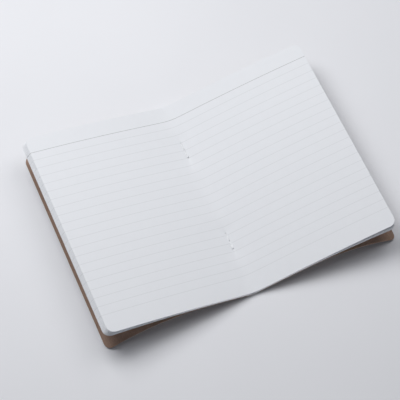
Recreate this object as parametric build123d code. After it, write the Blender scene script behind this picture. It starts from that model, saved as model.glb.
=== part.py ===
from build123d import *
import os
from math import cos, degrees, pi, radians, sin, tan

# A stapled pocket notebook lying open at its centre spread, in millimetres and degrees.
# The spine fold runs along Y with the head of the page at +Y, Z is up, and the origin is on
# the surface under the middle of the spine. The front cover lies at -X and the back at +X.
# Every profile is drawn for the +X half, as (x, z), and the front half is its mirror image.

# Driving dimensions: the paper and the card.
page_height = 152.4  # head to tail, along the spine
page_width = 101.6  # centre leaf, from the fold to the fore-edge, measured along the paper
sheet_count = 16  # sheets folded once and nested, so this many leaves on each side
sheet_thickness = 0.1
card_thickness = 0.4
corner_radius = 5.0  # the rounded fore-edge corners

# How the open notebook lies.
rise = 15.6  # angle at which the paper leaves the gutter
page_fall = 6.3  # how much of that angle the centre leaf has lost at the fore-edge
gutter_radius = 4.0  # bend of the centre sheet at its fold
front_fan = 3.1  # extra thickness at the fore-edge where the front leaves spread apart
back_fan = 5.0
back_square = 2.6  # taken off the outermost back leaf's reach, so the back fore-edge is square
front_hug = 31.0  # length of front cover that stays against the leaves before it arches down
back_hug = 37.0

# The spine strip of the cover, held by the staples, and the creases beside it.
spine_flat = 3.0  # width of the fold that is pressed flat on the surface
spine_side = 2.6  # from the edge of that flat to the crease, up the slope
hinge_gap = 0.3  # between the strip and each cover, along the card
cover_clearance = 0.3  # between each cover and the leaves above it

# The staples.
wire_diameter = 0.5
crown_length = 12.7  # outside to outside
wire_bend_radius = 0.6  # to the middle of the wire
wire_clearance = 0.05  # round the wire in its holes and grooves
clinch_sink = 0.15  # how deep the folded legs are pressed into the gutter
tip_gap = 0.8  # between the two folded legs
staple_spacing = 75.0
staple_shift = 2.0  # the pair sits this much nearer to the head

# Sizes that follow from those.
stack_thickness = sheet_count * sheet_thickness
gutter_height = card_thickness + stack_thickness
# The closed notebook is trimmed flush, with each leaf wrapped a quarter turn round the fold,
# so the outer leaves, and the card outside them, are that much longer than the centre one.
outer_leaf_width = page_width + stack_thickness * pi / 2
cover_width = outer_leaf_width + card_thickness * pi / 2
crease_distance = spine_flat / 2 + spine_side
wire_radius = wire_diameter / 2


def ahead(point, angle, distance):
    """The point this far on from (x, z) in the direction that rises at an angle."""
    x, z = point
    return (x + distance * cos(radians(angle)), z + distance * sin(radians(angle)))


def above(point, angle, distance):
    """The point this far off the upper side of a line that rises at an angle."""
    return ahead(point, angle + 90, distance)


def arc_point(start, angle, turn, length):
    """The end of an arc that starts at an angle and loses turn of it over its length."""
    x, z = start
    radius = length / radians(turn)
    end_angle = radians(angle - turn)
    return (
        x + radius * (sin(radians(angle)) - sin(end_angle)),
        z + radius * (cos(end_angle) - cos(radians(angle))),
    )


def arc(start, angle, turn, length):
    """That arc as an edge."""
    middle = arc_point(start, angle, turn / 2, length / 2)
    return ThreePointArc(start, middle, arc_point(start, angle, turn, length))


def extruded(edges):
    """A closed (x, z) outline, run along the full page height and centred on the origin."""
    outline = Plane.XZ * make_face(edges)
    return extrude(outline, amount=page_height / 2, both=True)


def round_corners(half):
    """Rounds the two fore-edge corners of a half that ends at its largest X."""
    fore_edge = half.faces().sort_by(Axis.X)[-1]
    return fillet(fore_edge.edges().filter_by(Axis.Y, reverse=True), corner_radius)


flat_end = (spine_flat / 2, card_thickness)
crease_top = ahead(flat_end, rise, spine_side)


def underside_turn(fan):
    """Angle lost by the lowest leaf, which falls further than the centre one as they fan out."""
    return page_fall + degrees(2 * fan / page_width)


def leaves(fan, squared=0):
    """One side's leaves as a block: flat on the strip, clear of the cover, fanned outwards."""
    gutter_floor = (0, gutter_height)
    gutter_edge = arc_point(gutter_floor, 0, -rise, gutter_radius * radians(rise))
    top_length = page_width - gutter_radius * radians(rise)
    top_end = arc_point(gutter_edge, rise, page_fall, top_length)
    under_start = above(crease_top, rise, cover_clearance)
    under_length = outer_leaf_width - crease_distance - squared
    under_turn = underside_turn(fan)
    under_end = arc_point(under_start, rise, under_turn, under_length)
    half = extruded(
        [
            Line((0, card_thickness), flat_end),
            Line(flat_end, crease_top),
            Line(crease_top, under_start),
            arc(under_start, rise, under_turn, under_length),
            Line(under_end, top_end),
            arc(gutter_edge, rise, page_fall, top_length),
            arc(gutter_floor, 0, -rise, gutter_radius * radians(rise)),
            Line(gutter_floor, (0, card_thickness)),
        ]
    )
    return round_corners(half)


def strip_half():
    """Half of the spine strip: card of even thickness, flat underneath and then rising."""
    flat_corner = (spine_flat / 2 + card_thickness * tan(radians(rise / 2)), 0)
    points = [
        (0, 0),
        flat_corner,
        above(crease_top, rise, -card_thickness),
        crease_top,
        flat_end,
        (0, card_thickness),
    ]
    return extruded(Polyline(points, close=True))


def turn_to_surface(start, angle, length):
    """Turn of the even bend that brings the card's lower edge to the surface."""
    too_little = angle
    too_much = angle + 90
    for _ in range(50):
        turn = (too_little + too_much) / 2
        end_top = arc_point(start, angle, turn, length)
        if above(end_top, angle - turn, -card_thickness)[1] > 0:
            too_little = turn
        else:
            too_much = turn
    return turn


def cover(fan, hug):
    """A cover from its crease: along the leaves, then in an arch down to the surface."""
    leaf_bend = (outer_leaf_width - crease_distance) / radians(underside_turn(fan))
    hug_turn = degrees(hug / (leaf_bend - cover_clearance))
    hug_start = ahead(crease_top, rise, hinge_gap)
    arch_start = arc_point(hug_start, rise, hug_turn, hug)
    arch_angle = rise - hug_turn
    arch_length = cover_width - crease_distance - hinge_gap - hug
    arch_turn = turn_to_surface(arch_start, arch_angle, arch_length)
    arch_end = arc_point(arch_start, arch_angle, arch_turn, arch_length)

    # The lower face is the same two bends, each drawn one card thickness nearer its centre.
    def inner(length, turn):
        return length - card_thickness * radians(turn)

    low_start = above(hug_start, rise, -card_thickness)
    low_middle = above(arch_start, arch_angle, -card_thickness)
    low_end = above(arch_end, arch_angle - arch_turn, -card_thickness)
    half = extruded(
        [
            arc(hug_start, rise, hug_turn, hug),
            arc(arch_start, arch_angle, arch_turn, arch_length),
            Line(arch_end, low_end),
            arc(low_middle, arch_angle, arch_turn, inner(arch_length, arch_turn)),
            arc(low_start, rise, hug_turn, inner(hug, hug_turn)),
            Line(low_start, hug_start),
        ]
    )
    print("cover arch radius", arch_length / radians(arch_turn), "reaches x", arch_end[0])
    return round_corners(half)


def wire(radius):
    """Wire of a radius along one staple: crown under the spine, legs folded in the gutter."""
    leg = (crown_length - wire_diameter) / 2
    clinch_height = gutter_height + wire_radius - clinch_sink
    corners = [
        (0, tip_gap / 2, clinch_height),
        (0, leg, clinch_height),
        (0, leg, wire_radius),
        (0, -leg, wire_radius),
        (0, -leg, clinch_height),
        (0, -tip_gap / 2, clinch_height),
    ]
    path = FilletPolyline(corners, radius=wire_bend_radius)
    return sweep(Plane(path @ 0, z_dir=path % 0) * Circle(radius), path)


def pressed_card():
    """Card and paper pressed up round a crown: a half-round ridge with domed ends."""
    radius = wire_radius + card_thickness
    leg = (crown_length - wire_diameter) / 2
    axle = Pos(0, 0, wire_radius)
    ridge = axle * (Rot(90, 0, 0) * Cylinder(radius, 2 * leg))
    for end in (-leg, leg):
        ridge += Pos(0, end, wire_radius) * Sphere(radius)
    below = Box(4 * radius, 2 * crown_length, radius, align=(Align.CENTER, Align.CENTER, Align.MAX))
    return ridge - below


def crown_mouth():
    """The open underside of the groove that a crown lies in."""
    width = wire_diameter + 2 * wire_clearance
    return extrude(SlotOverall(crown_length + 2 * wire_clearance, width, rotation=90), wire_radius)


page_block = leaves(back_fan, back_square) + mirror(leaves(front_fan), about=Plane.YZ)
cover_spine = strip_half() + mirror(strip_half(), about=Plane.YZ)
nodes = {
    "front_cover": mirror(cover(front_fan, front_hug), about=Plane.YZ),
    "back_cover": cover(back_fan, back_hug),
}
staple_places = {
    "upper_staple": Pos(0, staple_shift + staple_spacing / 2, 0),
    "lower_staple": Pos(0, staple_shift - staple_spacing / 2, 0),
}
for name, place in staple_places.items():
    nodes[name] = place * wire(wire_radius)
    way_through = place * wire(wire_radius + wire_clearance)
    page_block = page_block - place * pressed_card() - way_through
    cover_spine = cover_spine + place * pressed_card() - place * crown_mouth() - way_through
nodes["page_block"] = page_block
nodes["cover_spine"] = cover_spine

hinge_line = above(ahead(crease_top, rise, hinge_gap / 2), rise, -card_thickness)
print("hinge line of each cover, x and z:", hinge_line)

os.makedirs("parts", exist_ok=True)
for name, shape in nodes.items():
    export_step(shape, f"parts/{name}.step")
    print(name, "solids", len(shape.solids()), "volume", shape.volume, shape.bounding_box())
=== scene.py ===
# %% [markdown]
# # A stapled pocket notebook, open at its centre spread
#
# Sixteen sheets of ruled writing paper are folded once, nested, and stapled through the fold
# into a cover of brown kraft card. Lying open, the two halves of the paper stand up out of the
# gutter in shallow curves, and the two covers arch down from under them to the table.
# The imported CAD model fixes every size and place. This lesson adds what the eye looks for: the
# separate sheets, the rules, the fibre of the card, the dents round the staples, and the light.

from math import cos, degrees, pi, radians, sin

import bpy
import numpy as np
from mathutils import Matrix, Vector


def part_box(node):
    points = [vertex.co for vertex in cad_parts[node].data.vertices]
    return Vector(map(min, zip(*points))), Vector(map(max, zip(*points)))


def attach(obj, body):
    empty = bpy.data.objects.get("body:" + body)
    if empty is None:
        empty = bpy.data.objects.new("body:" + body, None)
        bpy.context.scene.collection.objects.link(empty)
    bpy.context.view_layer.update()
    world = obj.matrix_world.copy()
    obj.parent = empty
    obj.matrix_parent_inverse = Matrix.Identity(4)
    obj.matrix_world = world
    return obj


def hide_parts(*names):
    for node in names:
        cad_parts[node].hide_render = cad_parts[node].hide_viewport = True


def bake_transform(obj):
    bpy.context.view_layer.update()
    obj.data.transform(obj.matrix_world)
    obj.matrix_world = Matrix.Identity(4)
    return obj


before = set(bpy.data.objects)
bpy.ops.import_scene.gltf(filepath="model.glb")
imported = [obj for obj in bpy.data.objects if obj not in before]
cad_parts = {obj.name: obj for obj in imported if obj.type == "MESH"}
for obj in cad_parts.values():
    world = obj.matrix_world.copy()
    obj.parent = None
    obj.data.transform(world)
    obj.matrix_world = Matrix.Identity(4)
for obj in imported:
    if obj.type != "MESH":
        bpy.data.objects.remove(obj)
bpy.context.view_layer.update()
MM = 0.001
print("CAD nodes:", sorted(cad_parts))

# %% [markdown]
# ## What the CAD says
#
# A new piece has to lie where its CAD solid lies, so the sizes are read from the boxes of the
# CAD nodes and turned to millimetres, the unit a bookbinder uses. The few that no box can give,
# such as the number of sheets, are the maker's own numbers.
# The closed notebook is trimmed flush, with each leaf wrapped a quarter turn round the fold. So
# the outermost leaves, and the card outside them, are longer than the centre ones.

# %% Sizes, in millimetres
block_low, block_high = (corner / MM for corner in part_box("page_block"))
page_height = block_high.y - block_low.y
page_width = page_height * 2 / 3
corner_radius = 5.0
sheet_count = 16
sheet_thickness = 0.1
stack_thickness = sheet_count * sheet_thickness
card_thickness = block_low.z
gutter_height = card_thickness + stack_thickness
outer_leaf_width = page_width + stack_thickness * pi / 2
cover_width = outer_leaf_width + card_thickness * pi / 2
print("page", page_width, "x", page_height, "and the outermost leaf", outer_leaf_width)

# %% [markdown]
# The box of a staple gives three sizes at once. Its width is the wire, its middle is the
# staple's place along the fold, and what the wire leaves of its length is the distance between
# the two legs.

# %% The staples' sizes and places
staples = []
for node in ("upper_staple", "lower_staple"):
    low, high = (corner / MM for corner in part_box(node))
    wire_diameter = high.x - low.x
    staples.append((low.y + high.y) / 2)
    leg = (high.y - low.y - wire_diameter) / 2  # from the middle of the staple to each leg
print("staples at y", staples, "legs", leg, "either side, wire", wire_diameter)

# %% [markdown]
# ## How the open book lies
#
# Paper bent over a support takes even curves, so every line across the spread can be drawn as
# straight runs and arcs. These are the values that shape them, in millimetres and degrees. The
# front half of the book lies at -X and the back half at +X, and where the two lie differently
# each has a value of its own.

# %% Values of the open book
FRONT, BACK = -1, 1
rise = 15.6  # angle at which the paper leaves the gutter
page_fall = 6.3  # how much of that angle the centre leaf has lost at the fore-edge
gutter_radius = 4.0  # bend of the centre sheet at its fold
fan = {FRONT: 3.1, BACK: 5.0}  # thickness that the fore-edge gains where the leaves spread
hug = {FRONT: 31.0, BACK: 37.0}  # length of cover that stays against the leaves
squared = {FRONT: 0.0, BACK: 2.6}  # taken off the outermost leaf, where the edge is square
spine_flat = 3.0  # width of the fold that is pressed flat on the table
spine_side = 2.6  # from the edge of that flat to the crease, up the slope
crease_distance = spine_flat / 2 + spine_side
hinge_gap = 0.3  # width of the crease, along the card
cover_clearance = 0.3  # between each cover and the leaves above it
print("each crease is", crease_distance, "mm from the fold, along the card")

# %% [markdown]
# A line is drawn as points (x, z) for the +X half, and the other half is its mirror image. Two
# kinds of step are enough: straight ahead at an angle, and round an arc that loses some of its
# angle on the way.


# %% Steps along a line
def ahead(point, angle, distance):
    """The point this far on from (x, z) in the direction that rises at an angle."""
    x, z = point
    return (x + distance * cos(radians(angle)), z + distance * sin(radians(angle)))


def above(point, angle, distance):
    """The point this far off the upper side of a line that rises at an angle."""
    return ahead(point, angle + 90, distance)


def arc_point(start, angle, turn, length):
    """The end of an arc that starts at an angle and loses turn of it over its length."""
    almost_straight = 1e-9
    if abs(turn) < almost_straight:
        return ahead(start, angle, length)
    radius = length / radians(turn)
    end = radians(angle - turn)
    return (
        start[0] + radius * (sin(radians(angle)) - sin(end)),
        start[1] + radius * (cos(end) - cos(radians(angle))),
    )


flat_end = (spine_flat / 2, card_thickness)
crease_top = ahead(flat_end, rise, spine_side)
print("the card's upper face meets the crease at x and z", crease_top)

# %% [markdown]
# Only two lines across the paper are drawn this way: the upper face of the centre leaf and the
# lower face of the outermost one. The leaves between them are shares of both. The lowest leaf
# falls further than the top one, which is what fans the fore-edge.


# %% The top line and the underline
def smooth(value, low, high):
    """0 below low and 1 above high, with an easy slope between them."""
    t = np.clip((value - low) / (high - low), 0, 1)
    return t * t * (3 - 2 * t)


def top_line(length):
    """A point on the upper face of the centre leaf, this far from the fold."""
    bend = gutter_radius * radians(rise)
    if length <= bend:
        return arc_point((0, gutter_height), 0, -degrees(length / gutter_radius), length)
    start = arc_point((0, gutter_height), 0, -rise, bend)
    run = length - bend
    return arc_point(start, rise, page_fall * run / (page_width - bend), run)


def underside_turn(side):
    """Angle lost by the lowest leaf, which falls further than the centre one."""
    return page_fall + degrees(2 * fan[side] / page_width)


def leaf_reach(side):
    """Length of the outermost leaf; the back ones end square under the top one."""
    return outer_leaf_width - squared[side]


def under_line(side, length):
    """A point on the lower face of the outermost leaf, this far from the fold."""
    if length <= spine_flat / 2:
        return (length, card_thickness)
    if length <= crease_distance:
        point = ahead(flat_end, rise, length - spine_flat / 2)
    else:
        run = length - crease_distance
        whole = leaf_reach(side) - crease_distance
        point = arc_point(crease_top, rise, underside_turn(side) * run / whole, run)
    # The leaf parts from the card over the few millimetres about the crease.
    lift = cover_clearance * smooth(length, crease_distance - 1, crease_distance + 2)
    return above(point, rise, float(lift))


print("fore-edge of the top leaf", top_line(page_width))
print("fore-edge of the lowest front leaf", under_line(FRONT, leaf_reach(FRONT)))
print("fore-edge of the lowest back leaf", under_line(BACK, leaf_reach(BACK)))

# %% [markdown]
# ## Helpers for colour and for material nodes
#
# Colours are picked as sRGB hex values, the way a paint or paper sample is matched on a screen,
# and one function turns them to the linear values that light adds up in. One small function
# adds a node, sets its options, and fills or links its inputs, so each material reads as a list.
# A socket is called by its name where that is clear. The inputs of a Math node are all called
# Value, so they are numbered, and so are the colours of a Mix node, which come after the
# numbers and vectors that the same node can mix.

# %% Colour and node helpers
COLOUR_A, COLOUR_B = 6, 7  # the two colours that go into a Mix node
MIXED_COLOUR = 2  # and the one that comes out


def linear(hex_colour):
    """An sRGB hex colour as linear red, green, blue and alpha."""
    parts = [int(hex_colour[i : i + 2], 16) / 255 for i in (1, 3, 5)]
    return [c / 12.92 if c <= 0.04045 else ((c + 0.055) / 1.055) ** 2.4 for c in parts] + [1.0]


def new_material(name):
    """A material with a Principled shader, and its node tree."""
    material = bpy.data.materials.new(name)
    material.use_nodes = True
    return material, material.node_tree


def add(tree, kind, options=None, inputs=None):
    """Adds a node with its options; an input is a plain value or the output it is linked from."""
    node = tree.nodes.new(kind)
    for option, value in (options or {}).items():
        setattr(node, option, value)
    for socket, value in (inputs or {}).items():
        if isinstance(value, bpy.types.NodeSocket):
            tree.links.new(value, node.inputs[socket])
        else:
            node.inputs[socket].default_value = value
    return node


def finish_shader(tree, links, values):
    """Links and sets the inputs of the tree's own Principled shader."""
    shader = tree.nodes["Principled BSDF"]
    for socket, value in values.items():
        shader.inputs[socket].default_value = value
    for socket, output in links.items():
        tree.links.new(output, shader.inputs[socket])


print("the middle grey #808080 sends back", round(linear("#808080")[0], 3), "of the light")

# %% [markdown]
# ## The rules of the paper
#
# The rules are printed full bleed in a thin pale grey: one darker header rule near the head,
# then twenty fine ones a quarter inch (6.4 mm) apart. They could be an image or strips of mesh.
# They are worked out from the Y coordinate instead: a rule is wherever the distance to the
# nearest line is less than half its width, so it stays sharp at any distance and bends with
# the paper.

# %% Where the rules lie
head_margin = 11.6  # from the head of the page to the header rule
header_space = 6.06  # from the header rule to the first fine one
rule_count = 20
rule_spacing = 6.4
fine_width = 0.28
header_width = 0.26
header_rule = page_height / 2 - head_margin
first_rule = header_rule - header_space
last_rule = first_rule - (rule_count - 1) * rule_spacing
print("rules from y", first_rule, "down to", last_rule, "and the header rule at", header_rule)

# %% [markdown]
# A mask is a number at each point: 1 where the ink is and 0 beside it. The header rule is one
# line, so its mask needs only the distance to it. For the fine rules, a Ping-pong node folds
# the Y coordinate into a zigzag that comes back to zero on every rule, and one more test keeps
# that zigzag inside the ruled field.


# %% Masks of the rules
def away_from(tree, along, y):
    """Distance of each point from the line at y, in metres."""
    offset = add(tree, "ShaderNodeMath", {"operation": "SUBTRACT"}, {0: along, 1: y * MM})
    return add(tree, "ShaderNodeMath", {"operation": "ABSOLUTE"}, {0: offset.outputs[0]}).outputs[0]


def line_mask(tree, distance, width):
    """1 within half a width of where the distance is zero, with soft edges."""
    full_ink, no_ink = width * MM * 0.35, width * MM * 0.65
    return add(
        tree,
        "ShaderNodeMapRange",
        {"interpolation_type": "SMOOTHSTEP"},
        {"Value": distance, "From Min": full_ink, "From Max": no_ink, "To Min": 1, "To Max": 0},
    ).outputs[0]


def fine_rule_mask(tree, along):
    """Mask of all the fine rules."""
    from_first = add(
        tree, "ShaderNodeMath", {"operation": "SUBTRACT"}, {0: along, 1: first_rule * MM}
    ).outputs[0]
    to_rule = add(
        tree, "ShaderNodeMath", {"operation": "PINGPONG"}, {0: from_first, 1: rule_spacing * MM / 2}
    ).outputs[0]
    middle = (first_rule + last_rule) / 2
    half_field = (first_rule - last_rule) / 2 + rule_spacing / 4
    in_field = add(
        tree,
        "ShaderNodeMath",
        {"operation": "LESS_THAN"},
        {0: away_from(tree, along, middle), 1: half_field * MM},
    ).outputs[0]
    rules = line_mask(tree, to_rule, fine_width)
    return add(
        tree, "ShaderNodeMath", {"operation": "MULTIPLY"}, {0: rules, 1: in_field}
    ).outputs[0]


print("the fine rules are", fine_width, "mm wide and the header rule", header_width, "mm")

# %% [markdown]
# ## Uncoated writing paper
#
# The leaves are uncoated woodfree writing paper, pressed smooth on the paper machine but not
# glazed. It is a clean cool white, and very slightly cloudy, because pulp never settles evenly.
# Ink sits in the fibres, so each rule is a little uneven along its length. A plain white with
# even lines would look like plastic film, so noise does both: clouds of 5 mm between two close
# whites, and breaks of 0.9 mm in the ink.

# %% The printed colour
fine_ink = "#D3D5D8"
header_ink = "#A2A3A4"


def printed_colour(tree, place, dark, light):
    """Two close whites in clouds, with the rules printed over them."""
    along = add(tree, "ShaderNodeSeparateXYZ", inputs={0: place}).outputs["Y"]
    cloud, ink_break = (
        add(
            tree,
            "ShaderNodeTexNoise",
            inputs={"Vector": place, "Scale": 1 / (size * MM), "Detail": detail},
        ).outputs["Fac"]
        for size, detail in ((5, 4), (0.9, 2))
    )
    ink = add(
        tree,
        "ShaderNodeMapRange",
        inputs={"Value": ink_break, "From Min": 0.3, "From Max": 0.7, "To Min": 0.75, "To Max": 1},
    ).outputs[0]
    fine = add(
        tree, "ShaderNodeMath", {"operation": "MULTIPLY"}, {0: fine_rule_mask(tree, along), 1: ink}
    ).outputs[0]
    header = line_mask(tree, away_from(tree, along, header_rule), header_width)
    colour = add(
        tree,
        "ShaderNodeMix",
        {"data_type": "RGBA"},
        {"Factor": cloud, COLOUR_A: linear(dark), COLOUR_B: linear(light)},
    ).outputs[MIXED_COLOUR]
    for mask, ink_colour in ((fine, fine_ink), (header, header_ink)):
        colour = add(
            tree,
            "ShaderNodeMix",
            {"data_type": "RGBA"},
            {"Factor": mask, COLOUR_A: colour, COLOUR_B: linear(ink_colour)},
        ).outputs[MIXED_COLOUR]
    return colour


print("the fine rules are printed in", fine_ink, "and the header rule in", header_ink)

# %% [markdown]
# The surface comes from the fibres. They give the paper a tooth that scatters light, so it is
# matt, with next to no shine. A real fibre is about 0.02 mm wide, too fine to show, so the
# fibres are drawn at 0.25 mm.
# Light that enters a sheet comes out at its cut edge too, and that glow is painted into the edge's
# colour as a brighter white.


# %% The paper materials
def paper(name, dark, light):
    """Writing paper of two close whites, with its printed rules and the tooth of its fibres."""
    material, tree = new_material(name)
    place = add(tree, "ShaderNodeTexCoord").outputs["Object"]
    fibre = add(
        tree, "ShaderNodeTexNoise", inputs={"Vector": place, "Scale": 1 / (0.25 * MM), "Detail": 3}
    ).outputs["Fac"]
    tooth = add(
        tree,
        "ShaderNodeBump",
        inputs={"Strength": 0.35, "Distance": 0.02 * MM, "Height": fibre},
    ).outputs[0]
    roughness = add(
        tree,
        "ShaderNodeMapRange",
        inputs={"Value": fibre, "From Min": 0.3, "From Max": 0.7, "To Min": 0.82, "To Max": 0.94},
    ).outputs[0]
    colour = printed_colour(tree, place, dark, light)
    finish_shader(
        tree,
        {"Base Color": colour, "Roughness": roughness, "Normal": tooth},
        {"IOR": 1.5, "Specular IOR Level": 0.25},
    )
    return material


ruled_paper = paper("uncoated_ruled_writing_paper", "#E3E5E9", "#E6E8EC")
# painted glow: the cut edge gets a brighter white that stands in for light coming out of the sheet
# there
paper_edge_painted_glow = paper("paper_edge_with_painted_glow", "#F3F5F9", "#F8F9FC")
print("paper:", ruled_paper.name, "and its cut edge:", paper_edge_painted_glow.name)

# %% [markdown]
# ## Kraft card
#
# The cover is unbleached kraft card, about 300 g a square metre: long strong wood fibres with
# nothing to hide them. It is matt, a greyish brown, with lighter and darker flecks that lie
# mostly along the card's grain, which runs with the spine so that the cover folds cleanly.
# Stretched noise gives the flecks: the same noise, squeezed in one direction, turns its round
# blobs into fibres. A real fibre is 0.03 mm wide, too fine to show, so these are 0.2 mm, which
# is about half of one cell of the noise.

# %% The fibres of the card
grain_cell = 0.45
crossing_cell = 0.5


def card_fibres(tree, place, turn, squeeze, cell, detail):
    """Noise drawn out into fibres: turned by an angle, then squeezed along X and Y."""
    stretched = add(
        tree,
        "ShaderNodeMapping",
        inputs={"Vector": place, "Rotation": (0, 0, radians(turn)), "Scale": (*squeeze, 1)},
    ).outputs[0]
    return add(
        tree,
        "ShaderNodeTexNoise",
        inputs={"Vector": stretched, "Scale": 1 / (cell * MM), "Detail": detail},
    ).outputs["Fac"]


print("fibres", grain_cell / 2, "mm wide along the grain and", crossing_cell / 2, "mm across it")

# %% [markdown]
# The brown of the card follows the fibres along the grain and, more softly, clouds of 6 mm. A
# second set of fibres lies across the grain, and only its brightest peaks show, as pale flecks.

# %% The colour of the card
fibre_share = 0.6
cloud_share = 0.4


def card_pattern(tree, place):
    """Fibres along the grain and clouds, added up by their shares."""
    fibres = card_fibres(tree, place, 0, (1, 0.14), grain_cell, 4)
    cloud = add(
        tree, "ShaderNodeTexNoise", inputs={"Vector": place, "Scale": 1 / (6 * MM), "Detail": 4}
    ).outputs["Fac"]
    fibre_part = add(
        tree, "ShaderNodeMath", {"operation": "MULTIPLY"}, {0: fibres, 1: fibre_share}
    ).outputs[0]
    return add(
        tree,
        "ShaderNodeMath",
        {"operation": "MULTIPLY_ADD"},
        {0: cloud, 1: cloud_share, 2: fibre_part},
    ).outputs[0]


def card_colour(tree, place, pattern, browns, pale_fibre):
    """Two browns mixed by the pattern, with pale fibres scattered over them."""
    spread = add(
        tree,
        "ShaderNodeMapRange",
        inputs={"Value": pattern, "From Min": 0.35, "From Max": 0.65, "To Min": 0, "To Max": 1},
    ).outputs[0]
    crossing = card_fibres(tree, place, 38, (0.16, 1), crossing_cell, 3)
    fleck = add(
        tree,
        "ShaderNodeMapRange",
        inputs={"Value": crossing, "From Min": 0.62, "From Max": 0.74, "To Min": 0, "To Max": 0.5},
    ).outputs[0]
    dark, light = browns
    colour = linear(dark)
    for strength, next_colour in ((spread, light), (fleck, pale_fibre)):
        colour = add(
            tree,
            "ShaderNodeMix",
            {"data_type": "RGBA"},
            {"Factor": strength, COLOUR_A: colour, COLOUR_B: linear(next_colour)},
        ).outputs[MIXED_COLOUR]
    return colour


print("the card's pattern is", fibre_share, "fibres and", cloud_share, "clouds")

# %% [markdown]
# The same pattern drives the roughness and a low relief, because a fibre that stands up catches
# the light. A fresh cut opens the fibres, so the card's edge is paler than its face.


# %% The kraft card materials
def kraft(name, dark, light, pale_fibre):
    """Kraft card of two browns, with pale fibres scattered over it."""
    material, tree = new_material(name)
    place = add(tree, "ShaderNodeTexCoord").outputs["Object"]
    pattern = card_pattern(tree, place)
    roughness = add(
        tree,
        "ShaderNodeMapRange",
        inputs={"Value": pattern, "From Min": 0.3, "From Max": 0.7, "To Min": 0.78, "To Max": 0.92},
    ).outputs[0]
    relief = add(
        tree,
        "ShaderNodeBump",
        inputs={"Strength": 0.5, "Distance": 0.04 * MM, "Height": pattern},
    ).outputs[0]
    colour = card_colour(tree, place, pattern, (dark, light), pale_fibre)
    finish_shader(
        tree,
        {"Base Color": colour, "Roughness": roughness, "Normal": relief},
        {"IOR": 1.5, "Specular IOR Level": 0.3},
    )
    return material


kraft_face = kraft("unbleached_kraft_card", "#8C7364", "#A18777", "#BFA896")
kraft_cut = kraft("kraft_card_guillotined_edge", "#9C8474", "#B29B8B", "#CBB8A8")
print("kraft card:", kraft_face.name, "and its cut edge:", kraft_cut.name)

# %% [markdown]
# ## Galvanised staple wire
#
# Stitching wire is mild steel drawn through a die and coated with zinc. Drawing leaves hair
# lines that run along the wire, and the zinc dulls it to a soft grey. Noise squeezed along the
# staple's length gives the lines, and it drives the roughness and a very small bump. Real hair
# lines are about 0.01 mm wide, too fine to show, so these are drawn at 0.08 mm.

# %% The staple wire material
staple_wire, tree = new_material("galvanised_drawn_steel_wire")
place = add(tree, "ShaderNodeTexCoord").outputs["Object"]
drawn = add(
    tree, "ShaderNodeMapping", inputs={"Vector": place, "Scale": (1, 0.05, 1)}
).outputs[0]
hair_lines = add(
    tree, "ShaderNodeTexNoise", inputs={"Vector": drawn, "Scale": 1 / (0.08 * MM), "Detail": 3}
).outputs["Fac"]
zinc = add(
    tree, "ShaderNodeTexNoise", inputs={"Vector": place, "Scale": 1 / (0.7 * MM), "Detail": 3}
).outputs["Fac"]
wire_colour = add(
    tree,
    "ShaderNodeMix",
    {"data_type": "RGBA"},
    {"Factor": zinc, COLOUR_A: linear("#D2D4D6"), COLOUR_B: linear("#E2E3E5")},
).outputs[MIXED_COLOUR]
wire_roughness = add(
    tree,
    "ShaderNodeMapRange",
    inputs={"Value": hair_lines, "From Min": 0.3, "From Max": 0.7, "To Min": 0.42, "To Max": 0.6},
).outputs[0]
wire_relief = add(
    tree,
    "ShaderNodeBump",
    inputs={"Strength": 0.3, "Distance": 0.01 * MM, "Height": hair_lines},
).outputs[0]
finish_shader(
    tree,
    {"Base Color": wire_colour, "Roughness": wire_roughness, "Normal": wire_relief},
    {"Metallic": 1.0},
)
print("staple wire:", staple_wire.name, "with", len(tree.nodes), "nodes")

# %% [markdown]
# ## Where the grid lines go
#
# Each face of a sheet will be a grid of points: columns across the spread, and rows along the
# spine. A grid wants its lines where the shape turns, so the rows are a few millimetres apart
# over the open page, and a fraction of a millimetre apart where a staple leg comes through or
# where the two tips of a staple meet.

# %% Rows
row_spacing = page_height / 32
near_leg = np.array([-1.0, -0.6, -0.35, -0.18, 0, 0.18, 0.35, 0.6, 1.0])
kept_clear = 1.6  # plain rows stay this far from the middle of a close set
spots = [y + shift for y in staples for shift in (-leg, 0, leg)]
close_rows = np.concatenate([spot + near_leg for spot in spots])
plain_rows = [
    y
    for y in np.arange(-page_height / 2, page_height / 2 + row_spacing / 2, row_spacing)
    if min(abs(y - spot) for spot in spots) > kept_clear
]
row_places = np.array(sorted([*plain_rows, *close_rows])) / (page_height / 2)
print(len(row_places), "rows, as shares of half the page's height")

# %% [markdown]
# Every column is measured along the paper from the fold: close together at the fold, wider over
# the open page, and close again where the corners are rounded. Towards the fore-edge each
# column is a little shorter than the last, and that is what rounds the corners.

# %% Columns
near_fold = [0, 0.1, 0.2, 0.32, 0.45, 0.6, 0.8, 1.1, 1.5, 1.9, 2.4, 3.0, 3.6, 4.3, 5.2, 6.3, 7.6]
near_fold += [9.2, 11, 13, 15.5, 18.5]
open_columns = 22
corner_columns = 10


def column_places(length, near):
    """Distances from the fold to each column, and the half height of the sheet there."""
    last = length - corner_radius
    open_page = np.linspace(near[-1], last, open_columns)[1:]
    turn = np.radians(np.linspace(0, 90, corner_columns)[1:])
    along = np.concatenate([near, open_page, last + corner_radius * np.sin(turn)])
    half = np.full(len(along), page_height / 2)
    half[-len(turn) :] += corner_radius * (np.cos(turn) - 1)
    return along, half


sheet_columns = 2 * len(column_places(page_width, near_fold)[0]) - 1
print(sheet_columns, "columns across the spread")

# %% [markdown]
# ## A helper that makes a thin closed skin
#
# A sheet of paper or card is a solid, however thin: it has an upper face, a lower face, and a
# cut edge all round. It could be a plane with a Solidify modifier, but here the two faces are
# not everywhere the same distance apart, because the staples squeeze the paper. So both faces
# are given as grids of points, and the helper closes them with a rim that has its own material.

# %% Closed skins
sharp_from = radians(50)  # edges that turn more than this are drawn sharp


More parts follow.
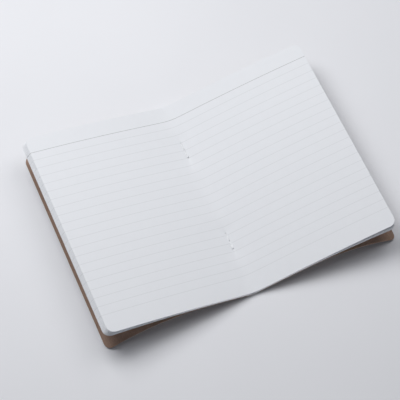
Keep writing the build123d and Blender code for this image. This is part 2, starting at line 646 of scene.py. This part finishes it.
def closed_skin(name, upper, lower, face_material, rim_material):
    """A closed mesh between two grids of points in millimetres."""
    columns, rows = upper.shape[:2]
    count = columns * rows
    points = np.concatenate([upper.reshape(-1, 3), lower.reshape(-1, 3)]) * MM
    index = np.arange(count).reshape(columns, rows)
    corners = (index[:-1, :-1], index[1:, :-1], index[1:, 1:], index[:-1, 1:])
    top = np.stack([c.ravel() for c in corners], 1)
    bottom = top[:, ::-1] + count
    ring = np.concatenate(
        [index[:-1, 0], index[-1, :-1], index[:0:-1, -1], index[0, :0:-1]]
    )
    after = np.roll(ring, -1)
    rim = np.stack([after, ring, ring + count, after + count], 1)
    faces = np.concatenate([top, bottom, rim])
    mesh = bpy.data.meshes.new(name)
    mesh.from_pydata(points.tolist(), [], faces.tolist())
    mesh.materials.append(face_material)
    mesh.materials.append(rim_material)
    for polygon in mesh.polygons[len(top) + len(bottom) :]:
        polygon.material_index = 1
    mesh.shade_smooth()
    mesh.set_sharp_from_angle(angle=sharp_from)
    piece = bpy.data.objects.new(name, mesh)
    bpy.context.scene.collection.objects.link(piece)
    return piece


print("a sheet's rim will have", 2 * (sheet_columns + len(row_places) - 2), "faces")

# %% [markdown]
# ## What the staples do to the paper
#
# The crown of a staple lies outside the fold and presses card and paper up over it. Its legs
# come up through the fold and are folded down towards each other, and they press a groove in
# the gutter. Where a leg comes through, and where the two tips meet, the paper is pulled into
# a small pit. These dents are what the eye sees of a staple, so they are real shape here, and
# not a bump in the material.

# %% Pressed up by the crowns
crown_sides = (0.22, 0.75)  # across the fold, the lift fades out between these distances
crown_end = 0.7  # and along the fold it fades out over this length past each leg


def pressed_up(x, y):
    """How far the crowns lift the card and the lowest sheet."""
    lift = 0
    for centre in staples:
        inside = 1 - smooth(np.abs(y - centre), leg, leg + crown_end)
        lift = lift + inside * (1 - smooth(np.abs(x), *crown_sides))
    return wire_diameter * lift


print("over a crown the card is lifted", float(pressed_up(np.array(0.0), staples[0])), "mm")

# %% [markdown]
# The folded legs press the other way. Paper can't be squeezed away to nothing, so beside the
# groove it stands up in a low bank on each side, and bank and groove catch light and shade.

# %% Pressed down by the folded legs
groove_depth = 0.1
groove_sides = (0.12, 0.3)  # across the fold, the groove fades out between these distances
groove_ends = (leg - 0.1, leg + 0.35)  # and along it, between these
bank_height = 0.13
bank_place = 0.45
bank_width = 0.3
pits = ((-leg, 0.8, 0.3), (leg, 0.8, 0.3), (0, 0.5, 0.27))  # the place, depth and width of each


def pressed_down(x, y):
    """How far the folded legs press the centre sheet down, with pits at the holes and tips."""
    depth = 0
    for centre in staples:
        inside = 1 - smooth(np.abs(y - centre), *groove_ends)
        groove = groove_depth * (1 - smooth(np.abs(x), *groove_sides))
        bank = bank_height * np.exp(-(((np.abs(x) - bank_place) / bank_width) ** 2))
        depth = depth + inside * (groove - bank)
        for spot, deep, wide in pits:
            away = x**2 + (y - centre - spot) ** 2
            depth = depth + deep * np.exp(-away / (2 * wide**2))
    return depth


print("deepest dent", float(pressed_down(np.array(0.0), np.array(staples[0] + leg))), "mm")

# %% [markdown]
# Between the staples nothing holds the fold down, so the centre sheet rounds the gutter there.
# A hyperbola does this, as it follows both slopes but passes above the corner between them.

# %% Free between the staples
free_height = 1.15  # how far above its corner the free fold passes
freed = (leg + 0.6, leg + 11)  # the fold comes free between these distances from a staple


def gutter_air(height, y):
    """How far the centre sheet stands clear of its folded line, which is this high."""
    held = sum(1 - smooth(np.abs(y - centre), *freed) for centre in staples)
    clear = free_height * (1 - np.clip(held, 0, 1))
    return np.hypot(height, clear) - height


print("midway between the staples the fold stands", float(gutter_air(0, sum(staples) / 2)), "mm up")

# %% [markdown]
# ## Sixteen folded sheets
#
# The block of leaves is not a block: it is sixteen sheets, each folded once and lying in the
# next, and the eye finds that out at the edges. Lines drawn on the edge of one block would look
# painted, so every sheet is made. The sheets touch at the fold and part towards the fore-edge,
# with air between them. The air is shared out unevenly, because leaves that have been turned
# never lie down quite alike: the back half has one wide gap, under its second leaf.

# %% How the air is shared between the leaves
gaps = {
    FRONT: [0.6, 0.9, 1.3, 0.8, 1.0, 1.2, 0.7, 1.1, 1.0, 0.8, 1.3, 0.9, 1.0, 1.1, 1.3],
    BACK: [0.5, 8.5, 1.2, 0.6, 0.8, 0.5, 0.9, 0.6, 0.8, 0.5, 0.9, 0.6, 0.8, 0.6, 0.8],
}
shares = {side: np.concatenate([[0], np.cumsum(g)]) / sum(g) for side, g in gaps.items()}
print("share of the air above each back leaf:", np.round(shares[BACK], 2))

# %% [markdown]
# Each sheet is made on its own, as two leaves. A face of a leaf is a share of the way from the
# top line to the underline: the paper that lies over it, and the air over it. In the front half
# each leaf also reaches a little further out than the one inside it, which leaves the fore-edge
# bevelled, while the back half ends nearly square. Each leaf has its own slight wave, a tenth
# of a millimetre high, because paper is never quite flat.

# %% The faces of a leaf
sliver = 0.006  # left between sheets that touch, so that no two faces lie in one place
loosened = (1, 30)  # between these distances from the fold the leaves come to their own gaps
wave_height = 0.14
wave_length = 148
wave_start = 0.9
wave_shift = 0.05  # from one leaf to the next


def leaf_faces(number, side):
    """Upper and lower face of one leaf, from the fold outwards, as grids of points."""
    share = (number + 0.5) / sheet_count
    length = page_width + share * (leaf_reach(side) - page_width)
    along, half = column_places(length, near_fold)
    part = along / length
    over = np.array([top_line(t * page_width) for t in part])
    under = np.array([under_line(side, t * leaf_reach(side)) for t in part])
    y = half[:, None] * row_places[None, :]
    x = over[:, :1] + 0 * y
    rounding = gutter_air(over[:, 1:] - gutter_height, y)
    depth = np.hypot(*(over - under).T)[:, None] + rounding

    # At the fold the air is shared evenly, and further out each leaf has its own gap.
    own = smooth(along, *loosened)[:, None]
    spread = own * shares[side][number] + (1 - own) * number / (sheet_count - 1)
    air = np.maximum(depth - stack_thickness, 0) * spread
    wave = np.sin(2 * pi * y / wave_length + wave_start + side + wave_shift * number)
    wave = wave_height * (part[:, None] ** 2) * wave
    highest = over[:, 1:] + rounding - pressed_down(x, y)
    lowest = under[:, 1:] + pressed_up(x, y)
    faces = []
    for paper_over in (number * sheet_thickness, (number + 1) * sheet_thickness - sliver):
        down = np.clip((paper_over + air) / depth, 0, 1)
        grid_x = over[:, :1] * (1 - down) + under[:, :1] * down + 0 * y
        grid_z = highest * (1 - down) + lowest * down + wave
        faces.append(np.stack([side * grid_x, y, grid_z], -1))
    return faces


print("a leaf's face has", leaf_faces(0, BACK)[0].shape[:2], "columns and rows")

# %% [markdown]
# The front leaf of a sheet is turned round, so that its points run from its fore-edge to the
# fold, and the back leaf follows without its first column, which is the same fold. All sixteen
# sheets ride on the book, and together they stand for the one solid block of the CAD model.

# %% Making the sheets
sheets = []
for number in range(sheet_count):
    front_faces = leaf_faces(number, FRONT)
    back_faces = leaf_faces(number, BACK)
    upper, lower = (
        np.concatenate([front[::-1], back[1:]]) for front, back in zip(front_faces, back_faces)
    )
    # the rim takes the edge material, whose brighter white is a painted glow of light from inside
    # the paper
    sheet = closed_skin(f"sheet_{number + 1:02d}", upper, lower, ruled_paper, paper_edge_painted_glow)
    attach(sheet, "book")
    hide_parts("page_block")
    sheets.append(sheet)
print("made", len(sheets), "sheets of", len(sheets[0].data.polygons), "faces each")

# %% [markdown]
# ## The line of the cover
#
# The cover is one piece of card. It runs under the spine, up to a crease on each side, along
# the leaves, and down to the table in an arch. Its line is walked in short steps that each
# turn a little. The turn of the arch isn't known beforehand: it is found by halving, the way
# that a number is guessed with higher and lower, until the card's lower corner touches down.

# %% The line of the card
step = 0.05
fold_softness = 0.4  # the card takes up its slope over this far each side of the flat


def card_angles(side, arch_turn):
    """Steps along the upper face of the card, and the angle that each one rises at."""
    along = np.arange(0, cover_width, step) + step / 2
    leaf_bend = (outer_leaf_width - crease_distance) / radians(underside_turn(side))
    hug_turn = degrees(hug[side] / (leaf_bend - cover_clearance))
    hug_start = crease_distance + hinge_gap
    arch_start = hug_start + hug[side]
    arch_length = cover_width - arch_start
    flat_edge = spine_flat / 2
    up = rise * smooth(along, flat_edge - fold_softness, flat_edge + fold_softness)
    hugging = hug_turn * np.clip((along - hug_start) / hug[side], 0, 1)
    arching = arch_turn * np.clip((along - arch_start) / arch_length, 0, 1)
    return along, up - hugging - arching


def card_line(side, arch_turn):
    """Distances, points and angles along the upper face of the card."""
    along, angle = card_angles(side, arch_turn)
    walk = np.stack([np.cos(np.radians(angle)), np.sin(np.radians(angle))], 1) * step
    points = np.concatenate([[[0, 0]], np.cumsum(walk, 0)]) + [0, card_thickness]
    ends = np.concatenate([[0], along + step / 2])
    return ends, points, np.interp(ends, along, angle)


def settled_line(side):
    """The card's line with the arch turned just enough for its lower corner to touch down."""
    low, high = 5.0, 90.0
    for _ in range(40):
        turn = (low + high) / 2
        ends, points, angles = card_line(side, turn)
        corner = points[-1][1] - card_thickness * cos(radians(angles[-1]))
        low, high = (turn, high) if corner > 0 else (low, turn)
    return ends, points, angles


for side, cover in ((FRONT, "front_cover"), (BACK, "back_cover")):
    ends, points, angles = settled_line(side)
    print(cover, "reaches out", points[-1][0], "mm and arches", points[:, 1].max(), "mm high")

# %% [markdown]
# ## The two halves of the cover
#
# The card has to bend at its creases when a cover is folded back, and a piece can only bend
# between two bodies. So it is made as two halves that meet under the staples, where nothing
# moves. Each half has close columns across its crease, and a scored line there, as a real
# cover has, so that the bend is a fold and not a kink.

# %% Half of the cover
near_crease = [*near_fold[:9], 2.0, 2.6, 3.1, *np.arange(3.4, 5.3, 0.14), 5.6, 6.2, 7.0, 8.5]
score_place = crease_distance + hinge_gap / 2
score_depth = 0.09
score_width = 0.22


def card_half(name, side):
    """One half of the cover, from the middle of the spine to its fore-edge."""
    ends, points, angles = settled_line(side)
    along, half = column_places(cover_width, near_crease)
    x, z, angle = (np.interp(along, ends, v) for v in (points[:, 0], points[:, 1], angles))
    y = half[:, None] * row_places[None, :]
    lift = pressed_up(x[:, None] + 0 * y, y)
    score = score_depth * np.exp(-(((along - score_place) / score_width) ** 2))
    down_x = np.sin(np.radians(angle)) * (card_thickness - score)
    down_z = np.cos(np.radians(angle)) * (card_thickness - score)
    upper = np.stack([side * (x[:, None] + 0 * y), y, z[:, None] + lift], -1)
    lower = np.stack(
        [side * ((x + down_x)[:, None] + 0 * y), y, (z - down_z)[:, None] + lift], -1
    )
    if side == FRONT:
        upper, lower = upper[::-1], lower[::-1]
    return closed_skin(name, upper, lower, kraft_face, kraft_cut)


print(len(column_places(cover_width, near_crease)[0]), "columns in each half of the cover")

# %% [markdown]
# Each half is baked in place, and the CAD cover and spine that it stands for are hidden.

# %% Making the two halves
for name, side, body, cover in (
    ("kraft_cover_front", FRONT, "front", "front_cover"),
    ("kraft_cover_back", BACK, "back", "back_cover"),
):
    card = card_half(name, side)
    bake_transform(card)
    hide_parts(cover, "cover_spine")
    print(name, len(card.data.polygons), "faces")

# %% [markdown]
# ## The staples
#
# The two staples are right as they come from the CAD model: a crown, two bent legs, one wire.
# They could be made again as curves with a round bevel, but that would add nothing to them. They
# only need the finish of real staple wire.

# %% Staple finish
for node in ("upper_staple", "lower_staple"):
    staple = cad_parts[node]
    staple.data.materials.clear()
    staple.data.materials.append(staple_wire)
    print(node, "has", len(staple.data.polygons), "faces")

# %% [markdown]
# ## The table
#
# The notebook lies on a smooth pale matt surface, such as a painted board or a paper sweep.
# It is a little darker and softer than the paper, and far from featureless: paint has a fine
# tooth, and no board is evenly coloured. Very large, very faint noise does both.

# %% The table's paint
table_paint, tree = new_material("pale_matt_painted_board")
place = add(tree, "ShaderNodeTexCoord").outputs["Object"]
patches = add(
    tree, "ShaderNodeTexNoise", inputs={"Vector": place, "Scale": 1 / (90 * MM), "Detail": 3}
).outputs["Fac"]
tooth = add(
    tree, "ShaderNodeTexNoise", inputs={"Vector": place, "Scale": 1 / (0.5 * MM), "Detail": 2}
).outputs["Fac"]
board = add(
    tree,
    "ShaderNodeMix",
    {"data_type": "RGBA"},
    {"Factor": patches, COLOUR_A: linear("#E5E6EA"), COLOUR_B: linear("#E8E9ED")},
).outputs[MIXED_COLOUR]
grain = add(
    tree, "ShaderNodeBump", inputs={"Strength": 0.15, "Distance": 0.02 * MM, "Height": tooth}
).outputs[0]
finish_shader(
    tree, {"Base Color": board, "Normal": grain}, {"Roughness": 0.7, "Specular IOR Level": 0.2}
)
print("table:", table_paint.name)

# %% [markdown]
# The table top is one wide square face. It lies a hair below the book, so that the card that
# rests on it is never in the same plane.

# %% The table top
reach = 2.5
table_height = -0.03 * MM
table_corners = [
    (x, y, table_height)
    for x, y in ((-reach, -reach), (reach, -reach), (reach, reach), (-reach, reach))
]
table_mesh = bpy.data.meshes.new("table_top")
table_mesh.from_pydata(table_corners, [], [(0, 1, 2, 3)])
table_mesh.materials.append(table_paint)
table = bpy.data.objects.new("table_top", table_mesh)
bpy.context.scene.collection.objects.link(table)
print("the table top is", 2 * reach, "m square")

# %% [markdown]
# ## Light
#
# The strongest light is a broad soft window behind the head of the page, a little to the left,
# close enough that the table is brighter on that side. A weaker one on the right softens its
# shadows. In front of the foot there is only a low faint glow: it skims the table, so the hollow
# under each cover stays dark, and it picks out the cut edges of the leaves.
# An image of a room could light the scene as well, but three square lights are easier to place,
# and each can be turned up or down by itself.


# %% The soft lights
def around(azimuth, elevation, distance, target):
    """The point at an azimuth and elevation from a target, anticlockwise from +X."""
    a, e = radians(azimuth), radians(elevation)
    return Vector(target) + distance * Vector((cos(a) * cos(e), sin(a) * cos(e), sin(e)))


def softbox(name, azimuth, elevation, distance, side, watts):
    """A square of soft light that faces the middle of the book."""
    light = bpy.data.lights.new(name, "AREA")
    light.shape = "SQUARE"
    light.size = side
    light.energy = watts
    holder = bpy.data.objects.new(name, light)
    holder.location = around(azimuth, elevation, distance, (0, 0, 0))
    holder.rotation_euler = (-holder.location).to_track_quat("-Z", "Y").to_euler()
    holder.visible_camera = False
    bpy.context.scene.collection.objects.link(holder)
    print(name, "at", [round(v, 3) for v in holder.location], "with", watts, "watts")


softbox("window_behind_head", 120, 60, 0.7, 0.45, 3.6)
softbox("window_right", 18, 60, 0.7, 0.45, 1.25)
softbox("glow_at_the_foot", -90, 10, 1.0, 0.3, 0.7)

# %% [markdown]
# The rest of the room sends back a dim, slightly cool light from all round, which keeps the
# shadows from going black. The Standard view transform is chosen because it shows the colours
# as they were picked.

# %% The room
room = bpy.data.worlds.new("dim_room")
room.use_nodes = True
background = room.node_tree.nodes["Background"]
background.inputs["Color"].default_value = linear("#F3F6FF")
background.inputs["Strength"].default_value = 0.14
bpy.context.scene.world = room
bpy.context.scene.view_settings.view_transform = "Standard"
print("room light of strength", round(background.inputs["Strength"].default_value, 2))

# %% [markdown]
# ## Camera
#
# The notebook is seen from above the foot of the front page, with a long lens that keeps the
# edges of the pages nearly parallel. The camera is placed by its direction from a point near
# the middle of the spine, and then turned a trifle about its own line of sight.

# %% The camera
lens_target = Vector((-0.0051, 0.0012, 0.0))
camera_azimuth = -90 - 23.44
camera_elevation = 60.594
camera_distance = 1.0607
camera_roll = 0.415
camera_data = bpy.data.cameras.new("camera")
camera_data.sensor_width = 36
camera_data.lens = 144.07
camera_data.clip_start = 0.01
camera = bpy.data.objects.new("camera", camera_data)
camera.location = around(camera_azimuth, camera_elevation, camera_distance, lens_target)
sight = (lens_target - camera.location).to_track_quat("-Z", "Y").to_matrix().to_4x4()
roll = Matrix.Rotation(radians(camera_roll), 4, "Z")
camera.matrix_world = Matrix.Translation(camera.location) @ sight @ roll
bpy.context.scene.collection.objects.link(camera)
bpy.context.scene.camera = camera
print("camera at", camera.matrix_world.translation)

# %% [markdown]
# ## The end of the scene
#
# Looks must not change the size. At the end the scene is brought up to date, so that every
# piece stands where it was put.

# %% Bringing the scene up to date
bpy.context.view_layer.update()
